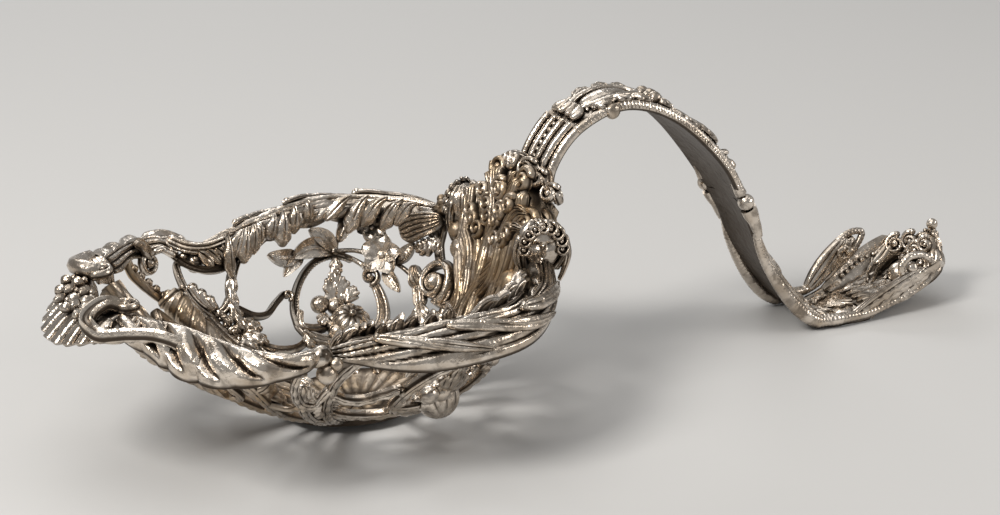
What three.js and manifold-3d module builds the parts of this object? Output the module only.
// Bonbon server: a pierced silver bowl with a pouring lip, a figured mount at its back, and an arched
// strap handle that ends in an upturned shell. Millimetres, +Z up, +X towards the handle's end.
// The bowl's ornament lies on one wall surface. A place on it is a station, which counts the rim's points
// from the lip (0) to the handle (15), and a height share, from the floor (0) to the rim's crest (1).
import * as THREE from "three";
import { mergeVertices } from "three/addons/utils/BufferGeometryUtils.js";
import Module from "manifold-3d";

const wasm = await Module();
wasm.setup();

// Fits
const CLEARANCE = 0.3; // gap between two pieces that are soldered together

// Bowl floor
const FLOOR_LENGTH = 29;
const FLOOR_WIDTH = 22;
const FLOOR_SHIFT = 6; // the floor's middle, behind the middle of the bowl
const FLOOR_RISE = 3.3; // height of the floor dish's edge
const FLOOR_THICKNESS = 1.3;
const REST_LENGTH = 12; // flat that the bowl stands on
const REST_WIDTH = 7;

// Wall surface
const BELLY_HEIGHT = 7; // height of the fullest part of the wall at the sides
const BELLY_HEIGHT_LIP = 13; // and under the lip
const BELLY_SHARE = 0.76; // how far out the belly stands, as a share of the crest above it

// Crest of the rim from the lip to the handle on one side: x, y and z of each station
const RIM_CREST = [
  [-43, 0, 30.5],
  [-40, 13.5, 32],
  [-35, 19.5, 31.5],
  [-31, 25.5, 30.5],
  [-26, 31, 29.5],
  [-20, 33.5, 28.5],
  [-13.5, 30, 26.8],
  [-6, 31.5, 28],
  [2, 34, 29.2],
  [12, 35.7, 30.4],
  [22, 34.3, 30.2],
  [30, 28, 30],
  [35, 20, 30],
  [38, 12, 33],
  [40, 6, 39],
  [41, 0, 41],
];
const BACK_STATION = RIM_CREST.length - 1;

// Leaf rim
const RIM_THICKNESS = 1.5;
const RIM_FLARE = 4.8; // how far the leaf edge stands out from the crest
const RIM_FLARE_SIDE = 2.8; // further flare of the long side leaf
const RIM_DROP = 4.2; // how far the leaf edge turns down
const RIM_DROP_SIDE = 1.8;
const RIM_TUCK = 3.6; // how far the leaf hangs down inside the wall
const LOBE_DEPTH = 1.1; // wave of the leaf edge
const NOTCH_STATION = 5.9;
const NOTCH_HALF = 0.35;
const LIP_STATION = 1.9; // where the front leaf starts
const MANTLE_STATION = 12.4; // where the side leaf meets the mantle

// Pouring lip
const LIP_REACH = 9; // how far the fan stands out in front of the crest
const LIP_DROP = 5;
const LIP_FLUTES = 7;
const FLUTE_DEPTH = 0.5;
const LIP_HALF_STATION = 0.78;

// Openwork
const BAR = 1.9; // width of a main scroll
const BAR_THICKNESS = 1.7;
const FINE_BAR = 1.3;
const RING_RADIUS = 9.4;
const RING_CENTRE = [9.38, 0.49];
const FRUIT_RADIUS = 3.3;
const BERRY_RADIUS = 1.7;
const FLOWER_PETAL = 2.3;
const FLOWER_PETALS = 5;
const FLOWER_CENTRE = [10.62, 0.74];
const VOLUTE_RADIUS = 4;
const VOLUTE_CENTRE = [12.6, 0.65];
const ROLL_RADIUS = 3.1;

// Back mount
const MANTLE_THICKNESS = 5;
const MANTLE_STRANDS = 9;
const STRAND_DEPTH = 0.6;
const MANTLE_FOOT = 0.7; // half width of the mantle at its foot, in stations
const MASK_HEIGHT = 8.4;
const MASK_WIDTH = 6;
const CURL_RADIUS = 2.1;

// Handle: the line of the strap's underside, x and z from the root to the terminal. What dips below
// zero is cut off flat where the handle stands.
const HANDLE_LINE = [
  [45.6, 37],
  [45.9, 43],
  [51.5, 50],
  [61.5, 53],
  [72, 49],
  [82, 39.1],
  [89.6, 26.8],
  [94.3, 16.6],
  [103, 5.6],
  [111.5, -0.8],
  [117.5, -0.8],
  [127.6, 2.6],
  [135.9, 5.6],
];
const HANDLE_WIDTHS = [12, 12, 12.4, 13, 15, 17.6, 13, 13.4, 15.6, 17, 17, 19, 18]; // at the same points
const STRAP_THICKNESS = 1.5;
const STRAP_CROWN = 0.3; // extra height of the strap along its middle
const STRAP_EDGE = 1; // width of the strap's rounded edge
const STRAP_HOLLOW = 0.5; // depth of the concave underside
const JOINT_SHARE = 0.475; // share of the handle line where the two straps are soldered
const FOOT_SHARE = 0.86; // share of the handle line where the terminal starts
const REED_WIDTH = 1.5;
const REED_HEIGHT = 1.1;
const REED_COUNT = 4;
const REED_SPREAD = 8.4; // distance between the outer reeds
const REED_END_SHARE = 0.16;
const BEAD_RADIUS = 0.55;
const BEAD_COUNT = 12;
const RELIEF = 1; // height of the low ornament on the strap
const CABOCHON_LENGTH = 10.5;
const CABOCHON_WIDTH = 6.6;
const CABOCHON_SHARE = 0.232;
const KNOT_SHARE = 0.305;
const KNOT_RADIUS = 1.3;
const LEAF_SHARE = 0.375;
const COLLAR_BALL = 1.7;
const COLLAR_REACH = 0.3; // how far the collar's middle stands off the strap's edge

// Terminal
const SHELL_RIBS = 7;
const RIB_DEPTH = 0.3;
const SHELL_LENGTH = 22.5;
const SHELL_WIDTH = 22;
const SHELL_TIP_WIDTH = 7;
const SHELL_SHOULDER = 0.5; // how far the sides stop short of the tip, as a share of the length
const SHELL_RISE = 14;
const SHELL_CUP = 7; // height of the curled sides above the middle
const SHELL_THICKNESS = 1.8;
const SHELL_BOSS = 2.8;
const TERMINAL_BALL = 1.3;

const UP = new THREE.Vector3(0, 0, 1);
const vec = (x, y, z) => new THREE.Vector3(x, y, z);
const lerp = THREE.MathUtils.lerp;
const clamp = THREE.MathUtils.clamp;

// Solids

function solidOf(positions, triangles) {
  let volume = 0;
  const at = (i) => vec(positions[3 * i], positions[3 * i + 1], positions[3 * i + 2]);
  for (let i = 0; i < triangles.length; i += 3) {
    const [a, b, c] = [at(triangles[i]), at(triangles[i + 1]), at(triangles[i + 2])];
    volume += a.dot(b.cross(c));
  }
  const triVerts = new Uint32Array(triangles);
  if (volume < 0) triVerts.reverse();
  const vertProperties = new Float32Array(positions);
  return new wasm.Manifold(new wasm.Mesh({ numProp: 3, vertProperties, triVerts }));
}

// A closed solid through rings of points, each with the same count. A ring runs along one side of its section
// and back along the other, so each end is closed by a strip from side to side.
function loft(rings) {
  const count = rings[0].length;
  const positions = [];
  const triangles = [];
  rings.forEach((ring) => ring.forEach((p) => positions.push(p.x, p.y, p.z)));
  for (let i = 0; i + 1 < rings.length; i++) {
    for (let j = 0; j < count; j++) {
      const a = i * count + j;
      const b = i * count + ((j + 1) % count);
      triangles.push(a, b, b + count, a, b + count, a + count);
    }
  }
  const close = (a, b, c, first) => (first ? triangles.push(c, b, a) : triangles.push(a, b, c));
  [0, rings.length - 1].forEach((end) => {
    const start = end * count;
    for (let near = 0, far = count - 1; near < far - 1; near++, far--) {
      close(start + near, start + far - 1, start + far, end === 0);
      if (near + 1 < far - 1) close(start + near, start + near + 1, start + far - 1, end === 0);
    }
  });
  return solidOf(positions, triangles);
}

function fromGeometry(geometry) {
  const plain = geometry.clone();
  plain.deleteAttribute("normal");
  plain.deleteAttribute("uv");
  const merged = mergeVertices(plain, 1e-4);
  return solidOf([...merged.attributes.position.array], [...merged.index.array]);
}

function ball(centre, radius, grow, sides = 6) {
  const geometry = new THREE.SphereGeometry(radius + grow, sides, Math.max(4, sides - 2));
  return fromGeometry(geometry.translate(centre.x, centre.y, centre.z));
}

function join(solids) {
  return solids.reduce((all, next) => all.add(next));
}

function mirrored(solid) {
  const mesh = solid.getMesh();
  const positions = [...mesh.vertProperties].map((value, i) => (i % 3 === 1 ? -value : value));
  return solidOf(positions, [...mesh.triVerts]);
}

// A sweep: stops are { p, side, up, width, height }, and the section is a flattened round.
function sweep(stops, grow, sides = 5) {
  const rings = stops.map(({ p, side, up, width, height }) => {
    const ring = [];
    for (let j = 0; j < sides; j++) {
      const angle = (2 * Math.PI * (j + 0.5)) / sides;
      ring.push(
        p
          .clone()
          .addScaledVector(side, Math.cos(angle) * (width / 2 + grow))
          .addScaledVector(up, Math.sin(angle) * (height / 2 + grow)),
      );
    }
    return ring;
  });
  if (grow > 0) {
    const last = stops.length - 1;
    const first = stops[0].p.clone().sub(stops[1].p).setLength(grow);
    const final = stops[last].p.clone().sub(stops[last - 1].p).setLength(grow);
    rings[0].forEach((p) => p.add(first));
    rings[last].forEach((p) => p.add(final));
  }
  return loft(rings);
}

// Wall surface

const LOOP = [...RIM_CREST, ...RIM_CREST.slice(1, -1).reverse().map(([x, y, z]) => [x, -y, z])];
const CREST = new THREE.CatmullRomCurve3(
  LOOP.map(([x, y, z]) => vec(x, y, z)),
  true,
  "catmullrom",
  0.5,
);
const turn = (station) => (station / LOOP.length + 1) % 1;
const crestAt = (station) => CREST.getPoint(turn(station));

function wallAt(station, share) {
  const crest = crestAt(station);
  const angle = Math.atan2(crest.y, crest.x);
  const floor = vec(
    FLOOR_SHIFT + (Math.cos(angle) * FLOOR_LENGTH) / 2,
    (Math.sin(angle) * FLOOR_WIDTH) / 2,
    FLOOR_RISE,
  );
  const height = lerp(BELLY_HEIGHT, BELLY_HEIGHT_LIP, Math.max(0, -Math.cos(angle)));
  const belly = vec(crest.x * BELLY_SHARE, crest.y * BELLY_SHARE, height);
  return floor
    .multiplyScalar((1 - share) ** 2)
    .addScaledVector(belly, 2 * share * (1 - share))
    .addScaledVector(crest, share ** 2);
}

// Directions on the wall: along the rim, up the wall, and outwards.
function wallFrame(station, share) {
  const step = 0.01;
  const here = wallAt(station, share);
  const along = wallAt(station + step, share).sub(here);
  const rise = wallAt(station, share + step).sub(here);
  const out = rise.clone().cross(along).normalize();
  if (out.dot(vec(here.x, here.y, 0)) < 0) out.negate();
  return { here, along, rise, out, perStation: along.length() / step, perShare: rise.length() / step };
}

const onWall = (station, share, out) => {
  const frame = wallFrame(station, share);
  return frame.here.addScaledVector(frame.out, out);
};

// Points of a path given as [station, share] pairs, smoothed, with the wall's own directions.
function wallStops(points, { width, height = BAR_THICKNESS, out = 0, steps = 10 }) {
  const curve = new THREE.CatmullRomCurve3(points.map(([s, v]) => vec(s * 10, v * 36, 0)));
  const places = [];
  for (let i = 0; i <= steps; i++) {
    const flat = curve.getPoint(i / steps);
    const frame = wallFrame(flat.x / 10, flat.y / 36);
    const lift = typeof out === "function" ? out(i / steps) : out;
    places.push({ p: frame.here.addScaledVector(frame.out, lift), up: frame.out });
  }
  return places.map(({ p, up }, i) => {
    const ahead = places[Math.min(i + 1, steps)].p;
    const behind = places[Math.max(i - 1, 0)].p;
    const side = ahead.clone().sub(behind).cross(up).normalize();
    const t = i / steps;
    return {
      p,
      side,
      up,
      width: typeof width === "function" ? width(t) : width,
      height: typeof height === "function" ? height(t) : height,
    };
  });
}
const wallBar = (points, options, grow) => sweep(wallStops(points, options), grow, options.sides);

// [station, share] pairs of an arc or spiral about a place on the wall, in real radii.
function wallArc([station, share], fromRadius, toRadius, fromDegrees, toDegrees, count = 10) {
  const points = [];
  for (let i = 0; i <= count; i++) {
    const angle = THREE.MathUtils.degToRad(lerp(fromDegrees, toDegrees, i / count));
    const radius = lerp(fromRadius, toRadius, i / count);
    const v = share + (radius * Math.sin(angle)) / wallFrame(station, share).perShare;
    const s = station + (radius * Math.cos(angle)) / wallFrame(station, v).perStation;
    points.push([s, v]);
  }
  return points;
}

// Widths along a piece
const tapered = (from, to) => (t) => lerp(from, to, t);
const leafy = (widest, tip = 0.5) => (t) => tip + (widest - tip) * Math.sin(Math.PI * clamp(t, 0, 1) ** 0.7);

// A fine stalk between larger pieces
const TENDRIL = { width: FINE_BAR, height: FINE_BAR, steps: 3, sides: 4 };

// Rim band: the section arches from a tuck inside the wall over the crest to the flared edge.
function rimSection(station, flare, drop, tuck, grow) {
  const crest = crestAt(station);
  const ahead = crestAt(station + 0.02).sub(crest);
  const out = vec(ahead.y, -ahead.x, 0).normalize();
  if (out.dot(vec(crest.x, crest.y, 0)) < 0) out.negate();
  const spine = [
    crest.clone().addScaledVector(out, -2.2).addScaledVector(UP, -tuck - grow),
    crest.clone().addScaledVector(out, -1.7).addScaledVector(UP, -tuck * 0.35),
    crest.clone(),
    crest.clone().addScaledVector(out, flare * 0.55).addScaledVector(UP, -drop * 0.3),
    crest.clone().addScaledVector(out, flare + grow).addScaledVector(UP, -drop - grow),
  ];
  const half = RIM_THICKNESS / 2 + grow;
  const upper = [];
  const lower = [];
  spine.forEach((p, i) => {
    const a = spine[Math.max(i - 1, 0)];
    const b = spine[Math.min(i + 1, spine.length - 1)];
    const tangent = b.clone().sub(a);
    const lengthOut = tangent.dot(out);
    const normal = out.clone().multiplyScalar(-tangent.z).addScaledVector(UP, lengthOut).normalize();
    const thin = i === 0 || i === spine.length - 1 ? 0.6 : 1;
    upper.push(p.clone().addScaledVector(normal, half * thin));
    lower.unshift(p.clone().addScaledVector(normal, -half * thin));
  });
  return [...upper, ...lower];
}

function rimBand(from, to, steps, flare, drop, tuck, grow) {
  const rings = [];
  for (let i = 0; i <= steps; i++) {
    const t = i / steps;
    const reach = (1.2 * grow) / wallFrame(lerp(from, to, t), 1).perStation;
    const station = lerp(from - reach, to + reach, t);
    rings.push(rimSection(station, flare(t), drop(t), tuck(t), grow));
  }
  return loft(rings);
}

// Bowl pieces

function bowlFloor(grow) {
  const rings = [];
  const sides = 24;
  const oval = (length, width, z) => {
    const ring = [];
    for (let i = 0; i < sides; i++) {
      const angle = (2 * Math.PI * i) / sides;
      ring.push(
        vec(
          FLOOR_SHIFT + Math.cos(angle) * (length / 2 + grow),
          Math.sin(angle) * (width / 2 + grow),
          z,
        ),
      );
    }
    return ring;
  };
  const inset = 2 * FLOOR_THICKNESS;
  rings.push(oval(REST_LENGTH, REST_WIDTH, -grow));
  rings.push(oval(FLOOR_LENGTH, FLOOR_WIDTH, FLOOR_RISE - FLOOR_THICKNESS - grow));
  rings.push(oval(FLOOR_LENGTH, FLOOR_WIDTH, FLOOR_RISE + grow));
  rings.push(oval(FLOOR_LENGTH - inset, FLOOR_WIDTH - inset, FLOOR_RISE + grow));
  rings.push(oval(REST_LENGTH, REST_WIDTH, FLOOR_THICKNESS + grow));
  return loft(rings);
}

const frontLeaf = (grow) =>
  rimBand(
    LIP_STATION,
    NOTCH_STATION - NOTCH_HALF,
    14,
    (t) => RIM_FLARE * (0.55 + 0.5 * Math.sin(Math.PI * t ** 0.8)) + LOBE_DEPTH * Math.sin(8 * Math.PI * t),
    (t) => RIM_DROP * (0.6 + 0.4 * Math.sin(Math.PI * t)),
    (t) => RIM_TUCK * (0.7 + 0.3 * Math.sin(3 * Math.PI * t)),
    grow,
  );

const sideLeaf = (grow) =>
  rimBand(
    NOTCH_STATION + NOTCH_HALF,
    MANTLE_STATION,
    18,
    (t) => RIM_FLARE * 0.7 + (RIM_FLARE_SIDE + RIM_FLARE * 0.3) * Math.sin(Math.PI * t ** 0.85),
    (t) => RIM_DROP * 0.8 + (RIM_DROP_SIDE + RIM_DROP * 0.2) * Math.sin(Math.PI * t ** 0.8),
    (t) => RIM_TUCK * (1 + 0.2 * Math.sin(10 * Math.PI * t)),
    grow,
  );

const notchBoss = (grow) => {
  const out = wallFrame(NOTCH_STATION, 1).out;
  const seat = crestAt(NOTCH_STATION);
  return join([
    ball(seat.clone().addScaledVector(out, 1.6), 2, grow),
    ball(seat.clone().addScaledVector(out, 3).addScaledVector(UP, -2.2), 1.7, grow),
    ball(seat.clone().addScaledVector(out, -0.6).addScaledVector(UP, -1.6), 1.5, grow),
  ]);
};

// Leaves that hang from the rim on the inside, fore to aft: [station at the root, station at the tip, share
// at the tip, width].
const HANGING_LEAVES = [
  [7, 6.6, 0.73, 5.4],
  [7.55, 7.35, 0.78, 4.6],
  [8.25, 8.3, 0.77, 4.8],
  [9.2, 9.4, 0.84, 4.4],
  [10, 10.25, 0.8, 4.2],
  [10.8, 11, 0.84, 4.2],
];
const hangingLeaves = (grow) => {
  const roots = HANGING_LEAVES.map(([root]) => root);
  const rail = [roots[0] - 0.3, ...roots.slice(1, -1), roots.at(-1) + 0.3].map((root) => [root, 0.925]);
  return join([
    wallBar(rail, { width: 2.2, height: 1.2, out: -2.6, steps: 6, sides: 4 }, grow),
    ...HANGING_LEAVES.map(([root, tip, share, width]) =>
      wallBar(
        [
          [root, 0.93],
          [(root + tip) / 2, (share + 0.93) / 2 + 0.02],
          [tip, share],
        ],
        { width: leafy(width, 0.9), height: 1.3, out: (t) => -2.6 + 0.7 * t, steps: 3, sides: 4 },
        grow,
      ),
    ),
  ]);
};

function lipFan(grow) {
  const rings = [];
  const steps = LIP_FLUTES * 2;
  const edge = LIP_HALF_STATION + grow / 13;
  for (let i = 0; i <= steps; i++) {
    const share = i / steps;
    const station = lerp(-edge, edge, share);
    const bend = Math.sin(Math.PI * share);
    const flute = FLUTE_DEPTH * Math.cos(Math.PI * i);
    const reach = LIP_REACH * (0.55 + 0.45 * bend) - flute;
    const ring = rimSection(station, reach, LIP_DROP * (0.7 + 0.3 * bend), RIM_TUCK * 1.6, grow);
    ring.slice(3, 7).forEach((p) => (p.z -= flute));
    rings.push(ring);
  }
  return loft(rings);
}

// The big C-scroll at the side of the fan: it springs from an eye and sweeps out to the front leaf.
const LIP_SCROLL_WIDTH = 2.6;
const LIP_SCROLL = [
  [-40.6, 9.3, 32.4],
  [-44, 9.3, 33.4],
  [-47.7, 11.6, 32],
  [-46.6, 14.6, 30],
  [-42.8, 18, 30.6],
  [-39.4, 21.2, 31],
];
function lipScroll(grow) {
  const curve = new THREE.CatmullRomCurve3(LIP_SCROLL.map(([x, y, z]) => vec(x, y, z)));
  const stops = [];
  const steps = 10;
  for (let i = 0; i <= steps; i++) {
    const t = i / steps;
    const side = curve.getTangent(t).cross(UP).normalize();
    stops.push({
      p: curve.getPoint(t),
      side,
      up: UP,
      width: lerp(LIP_SCROLL_WIDTH, LIP_SCROLL_WIDTH * 0.6, t),
      height: lerp(LIP_SCROLL_WIDTH, LIP_SCROLL_WIDTH * 0.8, t),
    });
  }
  return join([sweep(stops, grow), ball(vec(...LIP_SCROLL[0]), 1.9, grow)]);
}

const lipCollar = (grow) =>
  rimBand(
    LIP_HALF_STATION + 0.25,
    LIP_STATION - 0.06,
    6,
    (t) => RIM_FLARE * 0.42 + Math.sin(Math.PI * t),
    () => RIM_DROP * 0.4,
    (t) => RIM_TUCK * (0.9 + 0.5 * t),
    grow,
  );

const lipPlate = (grow) => {
  const rings = [];
  const steps = 8;
  const edge = LIP_STATION + grow / 10;
  for (let i = 0; i <= steps; i++) {
    const station = lerp(-edge, edge, i / steps);
    const bottom = 0.56 + 0.1 * Math.cos((Math.PI * station) / LIP_STATION);
    const ring = [];
    const shares = [bottom - grow / 36, 0.74, 0.88 + grow / 36];
    shares.forEach((share) => ring.push(onWall(station, share, 0.6 + grow)));
    shares.reverse().forEach((share) => ring.push(onWall(station, share, -0.6 - grow)));
    rings.push(ring);
  }
  return loft(rings);
};

const RING_FEET = [
  [8.75, 0.27],
  [10.1, 0.26],
];
const ringScroll = (grow) =>
  join([
    wallBar(
      wallArc(RING_CENTRE, RING_RADIUS, RING_RADIUS, 60, 205, 9),
      { width: tapered(BAR * 0.9, BAR * 1.1), steps: 8, sides: 4 },
      grow,
    ),
    wallBar(
      wallArc(RING_CENTRE, RING_RADIUS, RING_RADIUS, 200, 395, 11),
      { width: (t) => BAR * (1 + 0.5 * Math.sin(Math.PI * t)), steps: 11, sides: 4 },
      grow,
    ),
    ...RING_FEET.map(([station, share]) =>
      wallBar(
        [
          [station, share],
          [station, 0.02],
        ],
        { width: BAR, steps: 3, sides: 4 },
        grow,
      ),
    ),
  ]);

const fruitCluster = (grow) => {
  const [s, v] = RING_CENTRE;
  return join([
    ball(onWall(s + 0.35, v - 0.14, 0), FRUIT_RADIUS, grow, 8),
    ball(onWall(s - 0.5, v + 0.01, -0.2), BERRY_RADIUS, grow),
    ball(onWall(s - 0.08, v - 0.02, -0.5), BERRY_RADIUS * 0.95, grow),
    ball(onWall(s - 0.3, v - 0.14, -0.3), BERRY_RADIUS * 0.9, grow),
    wallBar(
      [
        [s - 0.4, v - 0.08],
        [s + 0.05, v + 0.02],
        [s + 0.2, v + 0.1],
      ],
      { width: leafy(3.6, 0.6), steps: 4, sides: 4 },
      grow,
    ),
    wallBar(
      [
        [s - 0.45, v + 0.04],
        [s - 0.4, v - 0.1],
        [s - 0.1, v - 0.24],
      ],
      { width: 2, steps: 3, sides: 4 },
      grow,
    ),
  ]);
};

const VINE_NODE = [9.5, 0.76];
const vineSpray = (grow) =>
  join([
    ball(onWall(...VINE_NODE, 0), 1.1, grow, 6),
    wallBar(
      [VINE_NODE, [8.95, 0.79], [8.3, 0.775], [7.85, 0.82]],
      { width: leafy(4.6, 0.6), height: 1.1, steps: 7, sides: 4 },
      grow,
    ),
    wallBar([VINE_NODE, [9.25, 0.82], [8.95, 0.87]], { width: leafy(3, 0.6), height: 1.1, steps: 4 }, grow),
    wallBar([VINE_NODE, [9.6, 0.83], [9.7, 0.93]], TENDRIL, grow),
    wallBar([VINE_NODE, [9.95, 0.76], [10.4, 0.74]], TENDRIL, grow),
  ]);

const pansy = (grow) => {
  const petals = [];
  for (let i = 0; i < FLOWER_PETALS; i++) {
    const [[s, v]] = wallArc(FLOWER_CENTRE, 2.7, 2.7, (360 * i) / FLOWER_PETALS + 18, 0, 1);
    petals.push(ball(onWall(s, v, 0), FLOWER_PETAL * 0.86, grow));
  }
  const stalk = [FLOWER_CENTRE, [10.5, 0.84], [10.4, 0.95]];
  const foot = [FLOWER_CENTRE, [11.1, 0.7], [11.5, 0.66]];
  return join([
    ball(onWall(...FLOWER_CENTRE, -0.4), FLOWER_PETAL * 0.7, grow),
    ...petals,
    wallBar(stalk, TENDRIL, grow),
    wallBar(foot, TENDRIL, grow),
  ]);
};

const wallStem = (grow) =>
  join([
    wallBar(
      [
        [7.52, 0.95],
        [6.95, 0.87],
        [6.4, 0.74],
        [6.1, 0.58],
        [5.75, 0.4],
        [5.5, 0.2],
        [5.4, 0.02],
      ],
      { width: tapered(BAR, BAR * 1.3), steps: 9, sides: 4 },
      grow,
    ),
    ball(onWall(5.8, 0.5, -0.4), 2.1, grow),
    ball(onWall(6.2, 0.44, -0.4), 2.1, grow),
    wallBar(
      [
        [6.15, 0.62],
        [6.6, 0.54],
        [7.1, 0.53],
        [7.6, 0.58],
        [8.05, 0.62],
      ],
      { width: FINE_BAR, height: FINE_BAR, steps: 7, sides: 4 },
      grow,
    ),
    wallBar(
      [
        [5.7, 0.38],
        [6.4, 0.28],
        [7.3, 0.26],
        [8.3, 0.33],
      ],
      { width: FINE_BAR * 1.1, height: FINE_BAR, steps: 7, sides: 4 },
      grow,
    ),
  ]);

const frontScroll = (grow) =>
  join([
    wallBar(
      [
        [5.45, 0.88],
        [5.1, 0.85],
        [4.85, 0.72],
        [4.85, 0.6],
        [5.2, 0.55],
        [5.75, 0.6],
        [6.3, 0.69],
      ],
      { width: tapered(FINE_BAR, BAR), steps: 9, sides: 4 },
      grow,
    ),
    wallBar(
      [
        [5.05, 0.57],
        [5.15, 0.68],
        [5.35, 0.78],
        [5.65, 0.81],
      ],
      { width: leafy(2.8, 1), height: 1.3, steps: 4, sides: 4 },
      grow,
    ),
    wallBar(
      [
        [4.85, 0.57],
        [4.7, 0.4],
        [4.6, 0.2],
        [4.6, 0.02],
      ],
      { width: BAR, steps: 5, sides: 4 },
      grow,
    ),
    wallBar(
      [
        [4.65, 0.3],
        [5.1, 0.26],
        [5.6, 0.34],
      ],
      TENDRIL,
      grow,
    ),
  ]);

const shellRoll = (grow) =>
  join([
    wallBar(
      [
        [3.9, 0.72],
        [3.5, 0.58],
        [3.15, 0.44],
      ],
      {
        width: (t) => 2 * ROLL_RADIUS * (1 - 0.45 * t),
        height: (t) => 2 * ROLL_RADIUS * (0.8 - 0.35 * t),
        steps: 4,
        sides: 8,
      },
      grow,
    ),
    wallBar(
      [
        [2.95, 0.94],
        [3.15, 0.82],
        [3.5, 0.68],
        [3.45, 0.45],
        [3.2, 0.22],
        [3.2, 0.02],
      ],
      { width: BAR, steps: 7, sides: 4 },
      grow,
    ),
    wallBar(
      [
        [3.6, 0.52],
        [4.2, 0.5],
        [4.85, 0.58],
      ],
      TENDRIL,
      grow,
    ),
  ]);

const lowerFrontScroll = (grow) =>
  join([
    wallBar(
      [
        [0.9, 0.62],
        [1.3, 0.48],
        [2, 0.44],
        [2.5, 0.54],
        [2.3, 0.66],
        [1.9, 0.62],
      ],
      { width: tapered(BAR, FINE_BAR), steps: 9, sides: 4 },
      grow,
    ),
    wallBar(
      [
        [1.7, 0.45],
        [1.7, 0.25],
        [1.8, 0.02],
      ],
      { width: BAR, steps: 4, sides: 4 },
      grow,
    ),
    wallBar(
      [
        [1.75, 0.25],
        [2.3, 0.22],
        [3.1, 0.3],
      ],
      TENDRIL,
      grow,
    ),
  ]);

const frontPalmette = (grow) =>
  join([
    ...[-2, -1, 0, 1, 2].map((k) =>
      wallBar(
        [
          [k * 0.08, 0.1],
          [k * 0.26, 0.34],
          [k * 0.44, 0.6 - 0.02 * Math.abs(k)],
        ],
        { width: leafy(2.6, 1.2), height: 1.3, steps: 3, sides: 4 },
        grow,
      ),
    ),
    wallBar([[0, 0.02], [0, 0.2]], { width: 4, steps: 2 }, grow),
  ]);

const frontPanel = (grow) =>
  join([lipPlate(grow), frontPalmette(grow), lowerFrontScroll(grow), mirrored(lowerFrontScroll(grow))]);

const volute = (grow) =>
  join([
    wallBar(
      wallArc(VOLUTE_CENTRE, VOLUTE_RADIUS, 1.7, -70, 400, 16),
      { width: FINE_BAR, height: (t) => BAR_THICKNESS * (1 + 0.4 * t), steps: 13, sides: 4 },
      grow,
    ),
    ball(onWall(...VOLUTE_CENTRE, 0), 1.5, grow),
    wallBar(
      [
        [12.75, 0.545],
        [13.1, 0.52],
        [13.6, 0.55],
        [14, 0.62],
      ],
      { width: BAR, steps: 5, sides: 4 },
      grow,
    ),
    wallBar(
      [
        [13, 0.53],
        [13.2, 0.3],
        [13.4, 0.02],
      ],
      { width: BAR, steps: 3, sides: 4 },
      grow,
    ),
    wallBar(
      [
        [12.35, 0.73],
        [12.1, 0.83],
        [12.1, 0.93],
      ],
      { width: BAR, steps: 3, sides: 4 },
      grow,
    ),
  ]);

const BELLFLOWER = [
  { points: [[11.55, 0.7], [11.72, 0.63]], width: tapered(2, 4.2), height: 2.4, steps: 2 },
  { points: [[11.72, 0.63], [11.95, 0.5]], width: 3, height: 2, steps: 2 },
  { points: [[11.95, 0.51], [12.2, 0.38], [12.45, 0.22]], width: leafy(4.6, 1), height: 1.3, steps: 4 },
  { points: [[11.8, 0.64], [12.2, 0.64]], ...TENDRIL },
  { points: [[12.1, 0.42], [11.5, 0.3], [10.9, 0.34]], ...TENDRIL },
  { points: [[12.3, 0.36], [11.9, 0.18], [11.8, 0.02]], ...TENDRIL, width: BAR },
];
const bellflower = (grow) =>
  join(BELLFLOWER.map(({ points, ...options }) => wallBar(points, options, grow)));

// Back mount

function mantle(grow) {
  const rings = [];
  const levels = 7;
  const around = MANTLE_STRANDS * 2;
  for (let i = 0; i <= levels; i++) {
    const level = i / levels;
    const share = lerp(0.14 - grow / 30, 1.02 + grow / 30, level);
    const half = lerp(MANTLE_FOOT, BACK_STATION - MANTLE_STATION + 0.15, level ** 1.3) + grow / 4;
    const inner = [];
    const outer = [];
    for (let j = 0; j <= around; j++) {
      const station = BACK_STATION + half * ((2 * j) / around - 1);
      const strand = STRAND_DEPTH * Math.cos(Math.PI * j);
      const fade = 1 - Math.abs((2 * j) / around - 1) ** 4;
      const thick = MANTLE_THICKNESS * (0.35 + 0.65 * fade) * (0.5 + 0.5 * level);
      inner.push(onWall(station, share, -0.8 - strand * fade - grow));
      outer.unshift(onWall(station, share, thick - 0.8 + grow));
    }
    rings.push([...inner, ...outer]);
  }
  return loft(rings);
}

// A small calm mask of nobody in particular, set out on equal thirds: brow, nose and chin.
const MASK_SEAT = [13.1, 1.02, 3.2];
function mask(grow) {
  const seat = onWall(...MASK_SEAT);
  const face = wallFrame(MASK_SEAT[0], 1).out.clone().add(vec(0, 0.8, 0)).setZ(0).normalize();
  const side = face.clone().cross(UP);
  const place = (across, up, out) =>
    seat.clone().addScaledVector(side, across).addScaledVector(UP, up).addScaledVector(face, out);
  const head = new THREE.SphereGeometry(1, 10, 8);
  head.scale(MASK_WIDTH / 2 + grow, MASK_WIDTH * 0.4 + grow, MASK_HEIGHT / 2 + grow);
  head.rotateZ(Math.atan2(face.y, face.x) - Math.PI / 2);
  head.translate(seat.x, seat.y, seat.z);
  const depth = MASK_WIDTH * 0.4;
  return join([
    fromGeometry(head),
    ball(place(0, -0.3, depth * 0.95), 0.75, grow, 6),
    ball(place(0, -MASK_HEIGHT * 0.36, depth * 0.55), 1, grow, 6),
    ball(place(MASK_WIDTH * 0.22, MASK_HEIGHT * 0.1, depth * 0.62), 0.85, grow, 6),
    ball(place(-MASK_WIDTH * 0.22, MASK_HEIGHT * 0.1, depth * 0.62), 0.85, grow, 6),
  ]);
}

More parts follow.
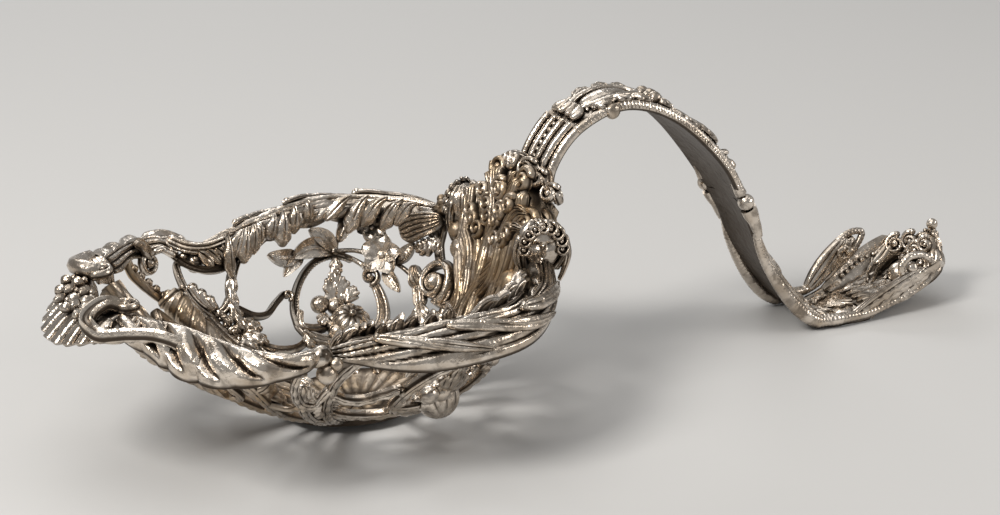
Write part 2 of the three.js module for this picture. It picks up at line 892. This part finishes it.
const TOP_CURL = [40.6, 0, 44.2];
const CURLS = [
  [41.2, 3.2, 43.6],
  [41.8, 6.3, 42.2],
  [42.8, 9.2, 40],
];
const crestCurls = (grow) => {
  const curls = [];
  for (const side of [-1, 1]) {
    CURLS.forEach(([x, y, z]) => curls.push(ball(vec(x, side * y, z), CURL_RADIUS, grow)));
  }
  return join([ball(vec(...TOP_CURL), CURL_RADIUS, grow), ...curls]);
};

const backScroll = (grow) =>
  join([
    wallBar(
      [
        [13.75, 0.62],
        [13.9, 0.8],
        [14.1, 0.95],
      ],
      { width: 4, height: 3, out: 4.8, steps: 4 },
      grow,
    ),
    ball(onWall(13.7, 0.55, 4), 1.5, grow),
  ]);

// Handle

const handleCurve = new THREE.CatmullRomCurve3(
  HANDLE_LINE.map(([x, z]) => vec(x, 0, z)),
  false,
  "catmullrom",
  0.5,
);
const HANDLE_LENGTH = handleCurve.getLength();
const widthCurve = new THREE.CatmullRomCurve3(
  HANDLE_WIDTHS.map((width, i) => vec(i, width, 0)),
  false,
  "catmullrom",
  0.5,
);
const handleFrame = (share) => {
  const here = handleCurve.getPoint(share);
  const ahead = handleCurve.getTangent(share);
  return { here, ahead, up: vec(-ahead.z, 0, ahead.x), half: widthCurve.getPoint(share).y / 2 };
};
const onHandle = (share, across, lift) => {
  const { here, up } = handleFrame(share);
  return here.addScaledVector(up, lift).add(vec(0, across, 0));
};

function strap(from, to, steps, grow) {
  const rings = [];
  for (let i = 0; i <= steps; i++) {
    const share = lerp(from, to, i / steps);
    const { half } = handleFrame(share);
    const w = half + grow;
    const top = STRAP_THICKNESS + grow;
    const ring = [
      onHandle(share, -w, -grow),
      onHandle(share, 0, STRAP_HOLLOW - grow),
      onHandle(share, w, -grow),
      onHandle(share, w, top * 0.7),
      onHandle(share, w - STRAP_EDGE, top),
      onHandle(share, 0, top + STRAP_CROWN),
      onHandle(share, -w + STRAP_EDGE, top),
      onHandle(share, -w, top * 0.7),
    ];
    rings.push(ring);
  }
  if (grow > 0) {
    rings[0].forEach((p) => p.addScaledVector(handleFrame(from).ahead, -grow));
    rings[steps].forEach((p) => p.addScaledVector(handleFrame(to).ahead, grow));
  }
  return loft(rings);
}
const handleUpper = (grow) => strap(0, JOINT_SHARE, 22, grow);
// The foot is cut flat where it stands.
const handleLower = (grow) => {
  const table = new THREE.BoxGeometry(60, 60, 10).translate(HANDLE_LINE.at(-4)[0], 0, -5 - grow);
  return strap(JOINT_SHARE, FOOT_SHARE, 18, grow).subtract(fromGeometry(table));
};

// A bar that lies on the strap, from [share, distance across the strap] pairs.
function strapBar(points, { width, height, lift, steps = 8, sides = 5 }, grow) {
  const curve = new THREE.CatmullRomCurve3(points.map(([share, across]) => vec(share * HANDLE_LENGTH, across, 0)));
  const stops = [];
  for (let i = 0; i <= steps; i++) {
    const t = i / steps;
    const flat = curve.getPoint(t);
    const share = flat.x / HANDLE_LENGTH;
    const { up, ahead } = handleFrame(share);
    const heading = curve.getTangent(t);
    const forward = ahead.clone().multiplyScalar(heading.x).add(vec(0, heading.y, 0));
    stops.push({
      p: onHandle(share, flat.y, lift),
      side: forward.cross(up).normalize(),
      up,
      width: typeof width === "function" ? width(t) : width,
      height,
    });
  }
  return sweep(stops, grow, sides);
}

const STRAP_TOP = STRAP_THICKNESS + STRAP_CROWN + CLEARANCE;
const reed = (index) => (grow) => {
  const across = REED_SPREAD * (index / (REED_COUNT - 1) - 0.5);
  return strapBar(
    [
      [0.012, across * 0.8],
      [0.08, across * 0.9],
      [REED_END_SHARE, across],
    ],
    { width: REED_WIDTH, height: REED_HEIGHT, lift: STRAP_TOP + REED_HEIGHT / 2, steps: 7 },
    grow,
  );
};

const beadLine = (grow) => {
  const width = (t) => BEAD_RADIUS * (1.5 - 0.5 * Math.cos(2 * Math.PI * BEAD_COUNT * t));
  const run = [
    [0.014, 0],
    [REED_END_SHARE, 0],
  ];
  const lift = STRAP_TOP + BEAD_RADIUS;
  return strapBar(run, { width, height: 2 * BEAD_RADIUS, lift, steps: 2 * BEAD_COUNT, sides: 4 }, grow);
};

const pod = (grow) =>
  strapBar(
    [
      [REED_END_SHARE + 0.006, 3.8],
      [REED_END_SHARE + 0.03, 1.9],
    ],
    { width: leafy(2.9, 0.9), height: 1.3, lift: STRAP_TOP + 0.65, steps: 4 },
    grow,
  );

const cabochon = (grow) =>
  strapBar(
    [
      [CABOCHON_SHARE - CABOCHON_LENGTH / HANDLE_LENGTH / 2, 0],
      [CABOCHON_SHARE + CABOCHON_LENGTH / HANDLE_LENGTH / 2, 0],
    ],
    {
      width: (t) => Math.max(1, (CABOCHON_WIDTH - 2.4) * Math.sin(Math.PI * lerp(0.08, 0.92, t)) ** 0.5),
      height: RELIEF,
      lift: STRAP_TOP + RELIEF / 2,
      steps: 8,
      sides: 8,
    },
    grow,
  );

const cabochonBorder = (grow) => {
  const side = (sign, from, to) => {
    const points = [];
    for (let i = 0; i <= 8; i++) {
      const angle = lerp(from, to, i / 8);
      points.push([
        CABOCHON_SHARE - (Math.cos(angle) * CABOCHON_LENGTH * 0.62) / HANDLE_LENGTH,
        sign * Math.sin(angle) * (CABOCHON_WIDTH / 2 + 0.2),
      ]);
    }
    const section = { width: 1.2, height: RELIEF, lift: STRAP_TOP + RELIEF / 2, steps: 8, sides: 4 };
    return strapBar(points, section, grow);
  };
  return join([side(1, -0.05, Math.PI + 0.05), side(-1, -0.05, Math.PI + 0.05)]);
};

const crownKnot = (grow) =>
  join([
    ball(onHandle(KNOT_SHARE, 0, STRAP_TOP + KNOT_RADIUS * 0.8), KNOT_RADIUS, grow),
    ball(onHandle(KNOT_SHARE, 2.2, STRAP_TOP + KNOT_RADIUS * 0.6), KNOT_RADIUS, grow),
    ball(onHandle(KNOT_SHARE, -2.2, STRAP_TOP + KNOT_RADIUS * 0.6), KNOT_RADIUS, grow),
    ball(onHandle(KNOT_SHARE + 0.012, 0, STRAP_TOP + KNOT_RADIUS * 0.6), KNOT_RADIUS, grow),
  ]);

const reliefLeaf = (grow) =>
  join([
    strapBar(
      [
        [KNOT_SHARE + 0.03, 0],
        [LEAF_SHARE, 0],
        [LEAF_SHARE + 0.06, 0],
      ],
      { width: leafy(7, 1.2), height: RELIEF, lift: STRAP_TOP + RELIEF / 2, steps: 7 },
      grow,
    ),
    ball(onHandle(LEAF_SHARE + 0.062, 0, STRAP_TOP + RELIEF), KNOT_RADIUS, grow),
  ]);

// The ball at the strap's edge and the tapered sheath below it, clipped round the edge.
const collarAndSheath = (grow) => {
  const { half } = handleFrame(JOINT_SHARE);
  return join([
    ball(onHandle(JOINT_SHARE, half + COLLAR_REACH, STRAP_THICKNESS / 2), COLLAR_BALL, grow),
    strapBar(
      [
        [JOINT_SHARE + 0.005, half + COLLAR_REACH],
        [JOINT_SHARE + 0.05, half + COLLAR_REACH],
      ],
      { width: tapered(1.9, 1.2), height: 2.4, lift: STRAP_THICKNESS / 2, steps: 4 },
      grow,
    ),
  ]);
};

// Terminal: a ribbed scoop that springs from the foot of the handle, turns up, and has high curled sides.
// A place on it is a share of its length and a spread from -1 to 1 across it.
function shellAt(t, spread, lift = 0) {
  const root = handleCurve.getPoint(FOOT_SHARE + 0.004);
  const place = (share) => {
    const cup = SHELL_CUP * Math.abs(spread) ** 4 * Math.sin(Math.PI * share ** 0.8);
    const half = lerp(handleFrame(FOOT_SHARE).half, SHELL_TIP_WIDTH / 2, share ** 3);
    const belly = ((SHELL_WIDTH - HANDLE_WIDTHS.at(-2)) / 2) * Math.sin(Math.PI * share);
    return vec(
      root.x + SHELL_LENGTH * Math.sin((Math.PI / 2) * share ** 0.95),
      spread * (half + belly),
      root.z + SHELL_RISE * share ** 2.5 + cup,
    );
  };
  const here = place(t);
  const heading = place(t + 0.02).sub(place(Math.max(0, t - 0.02)));
  return here.addScaledVector(vec(-heading.z, 0, heading.x).normalize(), lift);
}
function terminalShell(grow) {
  const rings = [];
  const steps = SHELL_RIBS * 2;
  const spans = 6;
  for (let i = 0; i <= steps; i++) {
    const spread = ((2 * i) / steps - 1) * (1 + grow / 10);
    const rib = RIB_DEPTH * Math.cos(Math.PI * i);
    const reach = 1 - SHELL_SHOULDER * Math.abs(spread) ** 3;
    const upper = [];
    const lower = [];
    for (let j = 0; j <= spans; j++) {
      const t = lerp(-grow / SHELL_LENGTH, reach + grow / SHELL_LENGTH, j / spans);
      upper.push(shellAt(Math.max(0, t), spread, SHELL_THICKNESS + rib * t + grow));
      lower.unshift(shellAt(Math.max(0, t), spread, -grow));
    }
    rings.push([...upper, ...lower]);
  }
  return loft(rings);
}

const terminalVolute = (grow) => {
  const eye = shellAt(0.3, 1).add(vec(0, BAR / 2, 2));
  const stops = [];
  const steps = 9;
  for (let i = 0; i <= steps; i++) {
    const angle = lerp(-2.6, 3.4, i / steps);
    const radius = lerp(3.6, 1.4, i / steps);
    const up = vec(Math.cos(angle), 0, Math.sin(angle));
    const p = eye.clone().addScaledVector(up, radius);
    stops.push({ p, side: vec(0, 1, 0), up, width: BAR, height: FINE_BAR });
  }
  return join([sweep(stops, grow), ball(eye, 1.5, grow)]);
};

const terminalCabochon = (grow) =>
  ball(shellAt(0.45, 0, SHELL_THICKNESS + SHELL_BOSS * 0.7), SHELL_BOSS, grow, 8);
const tipBall = (grow) =>
  ball(shellAt(1, 0, SHELL_THICKNESS / 2).add(vec(0, 0, TERMINAL_BALL * 0.8)), TERMINAL_BALL, grow);

// Assembly

const SILVER = { color: 0xcfc6b8, roughness: 0.26, metalness: 1 };
const OLD_SILVER = { color: 0x9a8c78, roughness: 0.34, metalness: 1 };
const GILT_STAIN = { color: 0x9c7a48, roughness: 0.36, metalness: 1 };

// Name, builder, finish, and whether the piece stands on both sides. A piece gives way to those before it.
const PIECES = [
  ["bowl_floor", bowlFloor, OLD_SILVER, false],
  ["lip_fan", lipFan, SILVER, false],
  ["front_leaf", frontLeaf, SILVER, true],
  ["side_leaf", sideLeaf, SILVER, true],
  ["handle_upper", handleUpper, SILVER, false],
  ["handle_lower", handleLower, SILVER, false],
  ["mantle", mantle, GILT_STAIN, false],
  ["lip_collar", lipCollar, SILVER, true],
  ["lip_scroll", lipScroll, SILVER, true],
  ["notch_boss", notchBoss, SILVER, true],
  ["hanging_leaves", hangingLeaves, SILVER, true],
  ["front_panel", frontPanel, OLD_SILVER, false],
  ["ring_scroll", ringScroll, SILVER, true],
  ["fruit_cluster", fruitCluster, SILVER, true],
  ["pansy", pansy, SILVER, true],
  ["vine_spray", vineSpray, SILVER, true],
  ["wall_stem", wallStem, SILVER, true],
  ["front_scroll", frontScroll, SILVER, true],
  ["shell_roll", shellRoll, OLD_SILVER, true],
  ["volute", volute, SILVER, true],
  ["bellflower", bellflower, SILVER, true],
  ["mask", mask, SILVER, true],
  ["crest_curls", crestCurls, SILVER, false],
  ["back_scroll", backScroll, SILVER, true],
  ["reed_1", reed(0), SILVER, false],
  ["reed_2", reed(1), SILVER, false],
  ["bead_line", beadLine, SILVER, false],
  ["reed_3", reed(2), SILVER, false],
  ["reed_4", reed(3), SILVER, false],
  ["pod", pod, SILVER, true],
  ["cabochon", cabochon, SILVER, false],
  ["cabochon_border", cabochonBorder, SILVER, false],
  ["crown_knot", crownKnot, SILVER, false],
  ["relief_leaf", reliefLeaf, SILVER, false],
  ["collar_sheath", collarAndSheath, SILVER, true],
  ["terminal_shell", terminalShell, SILVER, false],
  ["terminal_volute", terminalVolute, SILVER, true],
  ["terminal_cabochon", terminalCabochon, SILVER, false],
  ["tip_ball", tipBall, SILVER, false],
];

const overlaps = (a, b) =>
  [0, 1, 2].every((k) => a.min[k] < b.max[k] && b.min[k] < a.max[k]);

function mainBody(solid) {
  return solid.decompose().reduce((best, body) => (body.volume() > best.volume() ? body : best));
}

function geometryOf(solid) {
  const mesh = solid.getMesh();
  const geometry = new THREE.BufferGeometry();
  geometry.setAttribute("position", new THREE.BufferAttribute(mesh.vertProperties, 3));
  geometry.setIndex(new THREE.BufferAttribute(mesh.triVerts, 1));
  geometry.computeVertexNormals();
  return geometry;
}

const part = new THREE.Group();
const cutters = [];
const addMesh = (name, solid, finish) => {
  const mesh = new THREE.Mesh(geometryOf(solid), new THREE.MeshStandardMaterial(finish));
  mesh.name = name;
  part.add(mesh);
};
for (const [name, build, finish, paired] of PIECES) {
  let solid = build(0);
  const box = solid.boundingBox();
  cutters.filter((cutter) => overlaps(cutter.box, box)).forEach((cutter) => {
    solid = solid.subtract(cutter.solid);
  });
  solid = mainBody(solid);
  const grown = build(CLEARANCE);
  const sides = paired ? [grown, mirrored(grown)] : [grown];
  sides.forEach((side) => cutters.push({ solid: side, box: side.boundingBox() }));
  if (paired) {
    addMesh(name + "_left", solid, finish);
    addMesh(name + "_right", mirrored(solid), finish);
  } else {
    addMesh(name, solid, finish);
  }
}

// The origin is under the middle of the whole object. The bowl's rest and the handle's foot lie at z = 0.
const bounds = new THREE.Box3().setFromObject(part);
part.position.x = -(bounds.min.x + bounds.max.x) / 2;

export default part;
